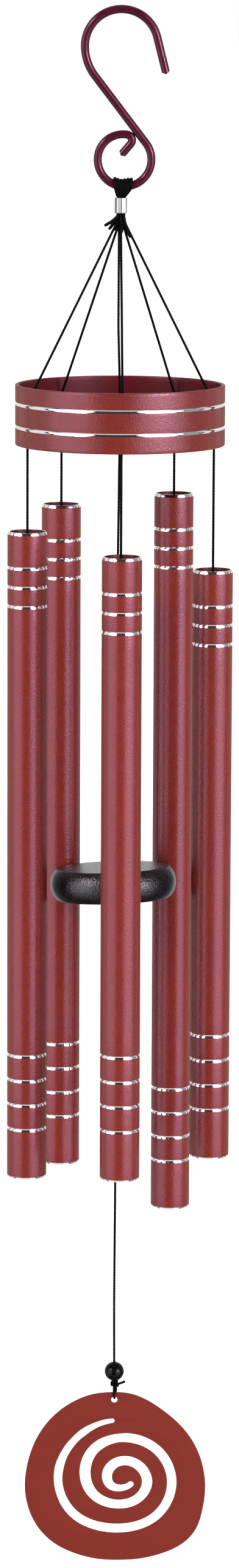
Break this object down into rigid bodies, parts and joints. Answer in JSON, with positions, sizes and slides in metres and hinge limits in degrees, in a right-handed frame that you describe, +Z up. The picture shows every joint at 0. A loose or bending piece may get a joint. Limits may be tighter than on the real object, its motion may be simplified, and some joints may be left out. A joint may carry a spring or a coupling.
{
  "type": "wind chime",
  "caption": "Hanging wind chime: S-hook, crimped cords, coated ring, tuned tubes hung on cross pins, round striker and a flat sail with a spiral slot.",
  "frame": {"origin": "inside top of the hook's crook, where the chime rests on what it hangs from", "axes": "+Z up, +X across the plane of the S-hook towards its open tip, -Y the front"},
  "size_m": [0.1791, 0.1768, 1.2696],
  "materials": {
    "hook_paint": "satin wine-red paint on bent steel rod",
    "cord_black": "matte black braided polyester cord",
    "crimp_metal": "bright pressed sleeve",
    "red_coat": "fine-textured brick-red powder coat with polished bands",
    "plate_metal": "dark red powder coat",
    "pin_metal": "steel pin, coated over flush",
    "striker_black": "satin black",
    "bead_black": "gloss black",
    "sail_coat": "smooth brick-red powder coat"
  },
  "bodies": {
    "hook": {"s_hook": "hook_paint"},
    "hook_loops": {"hook_cord_loops": "cord_black"},
    "crimp": {"crimp_ferrule": "crimp_metal", "crimped_cords": "cord_black"},
    "ring": {"hanging_ring": "red_coat", "support_disc": "plate_metal", "cord_tails": "cord_black", "upper_cord_striker": "cord_black", "upper_cord_a": "cord_black", "upper_cord_b": "cord_black", "upper_cord_c": "cord_black", "upper_cord_d": "cord_black", "upper_cord_e": "cord_black"},
    "striker_line": {"striker_cord": "cord_black"},
    "striker": {"striker_disc": "striker_black"},
    "sail_line": {"sail_cord": "cord_black"},
    "bead": {"sail_bead": "bead_black"},
    "sail_hanger": {"sail_loop": "cord_black"},
    "sail": {"wind_sail": "sail_coat"},
    "cord_a": {"tube_cord_a": "cord_black"},
    "loop_a": {"pin_loop_a": "cord_black"},
    "tube_a": {"tube_a": "red_coat", "cross_pin_a": "pin_metal"},
    "cord_b": {"tube_cord_b": "cord_black"},
    "loop_b": {"pin_loop_b": "cord_black"},
    "tube_b": {"tube_b": "red_coat", "cross_pin_b": "pin_metal"},
    "cord_c": {"tube_cord_c": "cord_black"},
    "loop_c": {"pin_loop_c": "cord_black"},
    "tube_c": {"tube_c": "red_coat", "cross_pin_c": "pin_metal"},
    "cord_d": {"tube_cord_d": "cord_black"},
    "loop_d": {"pin_loop_d": "cord_black"},
    "tube_d": {"tube_d": "red_coat", "cross_pin_d": "pin_metal"},
    "cord_e": {"tube_cord_e": "cord_black"},
    "loop_e": {"pin_loop_e": "cord_black"},
    "tube_e": {"tube_e": "red_coat", "cross_pin_e": "pin_metal"}
  },
  "joints": [
    {"name": "hook_swing", "type": "hinge", "parent": "hook", "child": "hook_loops", "pos_m": [0.0021, 0, -0.1349], "axis": [1, 0, 0], "range_deg": [-15, 15]},
    {"name": "crimp_swing", "type": "hinge", "parent": "hook_loops", "child": "crimp", "pos_m": [0, 0, -0.14415], "axis": [0, 1, 0], "range_deg": [-10, 10]},
    {"name": "chime_spin", "type": "hinge", "parent": "crimp", "child": "ring", "pos_m": [0, 0, -0.157], "axis": [0, 0, 1], "range_deg": [-60, 60]},
    {"name": "striker_swing", "type": "hinge", "parent": "ring", "child": "striker_line", "pos_m": [0, 0, -0.31095], "axis": [-1, 0, 0], "range_deg": [-1.4, 1.4]},
    {"name": "striker_tilt", "type": "hinge", "parent": "striker_line", "child": "striker", "pos_m": [-0.00402, 0, -0.69473], "axis": [0.8192, 0.5735, -0.0086], "range_deg": [-0.3, 10.1]},
    {"name": "sail_line_swing", "type": "hinge", "parent": "striker_line", "child": "sail_line", "pos_m": [-0.00422, 0, -0.71418], "axis": [-1, 0, 0], "range_deg": [-12, 12]},
    {"name": "bead_slide", "type": "slide", "parent": "sail_line", "child": "bead", "axis": [-0.0071, 0, 1], "range_m": [0, 0.03]},
    {"name": "sail_spin", "type": "hinge", "parent": "sail_line", "child": "sail_hanger", "pos_m": [-0.00142, 0, -1.11012], "axis": [-0.0071, 0, 1], "continuous": true},
    {"name": "sail_rock", "type": "hinge", "parent": "sail_hanger", "child": "sail", "pos_m": [-0.00132, 0, -1.12502], "axis": [0, 1, 0], "range_deg": [-20, 20]},
    {"name": "tube_a_swing", "type": "hinge", "parent": "ring", "child": "cord_a", "pos_m": [-0.07305, -0.02587, -0.34075], "axis": [-0.3338, 0.9426, 0], "range_deg": [-0.9, 10]},
    {"name": "tube_a_spin", "type": "hinge", "parent": "cord_a", "child": "loop_a", "pos_m": [-0.07305, -0.02587, -0.41275], "axis": [0, 0, 1], "range_deg": [-90, 90]},
    {"name": "tube_a_rock", "type": "hinge", "parent": "loop_a", "child": "tube_a", "pos_m": [-0.07305, -0.02587, -0.42375], "axis": [0.9511, 0.309, 0], "range_deg": [-4, 4]},
    {"name": "tube_b_swing", "type": "hinge", "parent": "ring", "child": "cord_b", "pos_m": [-0.04718, 0.06148, -0.34075], "axis": [0.7934, 0.6088, 0], "range_deg": [-1.2, 10]},
    {"name": "tube_b_spin", "type": "hinge", "parent": "cord_b", "child": "loop_b", "pos_m": [-0.04718, 0.06148, -0.40025], "axis": [0, 0, 1], "range_deg": [-90, 90]},
    {"name": "tube_b_rock", "type": "hinge", "parent": "loop_b", "child": "tube_b", "pos_m": [-0.04718, 0.06148, -0.41125], "axis": [-0.0872, -0.9962, 0], "range_deg": [-3, 2.2]},
    {"name": "tube_c_swing", "type": "hinge", "parent": "ring", "child": "cord_c", "pos_m": [0.00203, -0.07747, -0.34075], "axis": [-0.9997, -0.0262, 0], "range_deg": [-1.5, 10]},
    {"name": "tube_c_spin", "type": "hinge", "parent": "cord_c", "child": "loop_c", "pos_m": [0.00203, -0.07747, -0.42645], "axis": [0, 0, 1], "range_deg": [-90, 90]},
    {"name": "tube_c_rock", "type": "hinge", "parent": "loop_c", "child": "tube_c", "pos_m": [0.00203, -0.07747, -0.43745], "axis": [-0.9063, 0.4226, 0], "range_deg": [-2.2, 3]},
    {"name": "tube_d_swing", "type": "hinge", "parent": "ring", "child": "cord_d", "pos_m": [0.0439, 0.06387, -0.34075], "axis": [0.8241, -0.5664, 0], "range_deg": [-1.5, 10]},
    {"name": "tube_d_spin", "type": "hinge", "parent": "cord_d", "child": "loop_d", "pos_m": [0.0439, 0.06387, -0.39135], "axis": [0, 0, 1], "range_deg": [-90, 90]},
    {"name": "tube_d_rock", "type": "hinge", "parent": "loop_d", "child": "tube_d", "pos_m": [0.0439, 0.06387, -0.40235], "axis": [-0.9703, -0.2419, 0], "range_deg": [-3, 3]},
    {"name": "tube_e_swing", "type": "hinge", "parent": "ring", "child": "cord_e", "pos_m": [0.07431, -0.02201, -0.34075], "axis": [-0.284, -0.9588, 0], "range_deg": [-1.5, 10]},
    {"name": "tube_e_spin", "type": "hinge", "parent": "cord_e", "child": "loop_e", "pos_m": [0.07431, -0.02201, -0.44305], "axis": [0, 0, 1], "range_deg": [-90, 90]},
    {"name": "tube_e_rock", "type": "hinge", "parent": "loop_e", "child": "tube_e", "pos_m": [0.07431, -0.02201, -0.45405], "axis": [-0.9511, 0.309, 0], "range_deg": [-4, 4]}
  ]
}
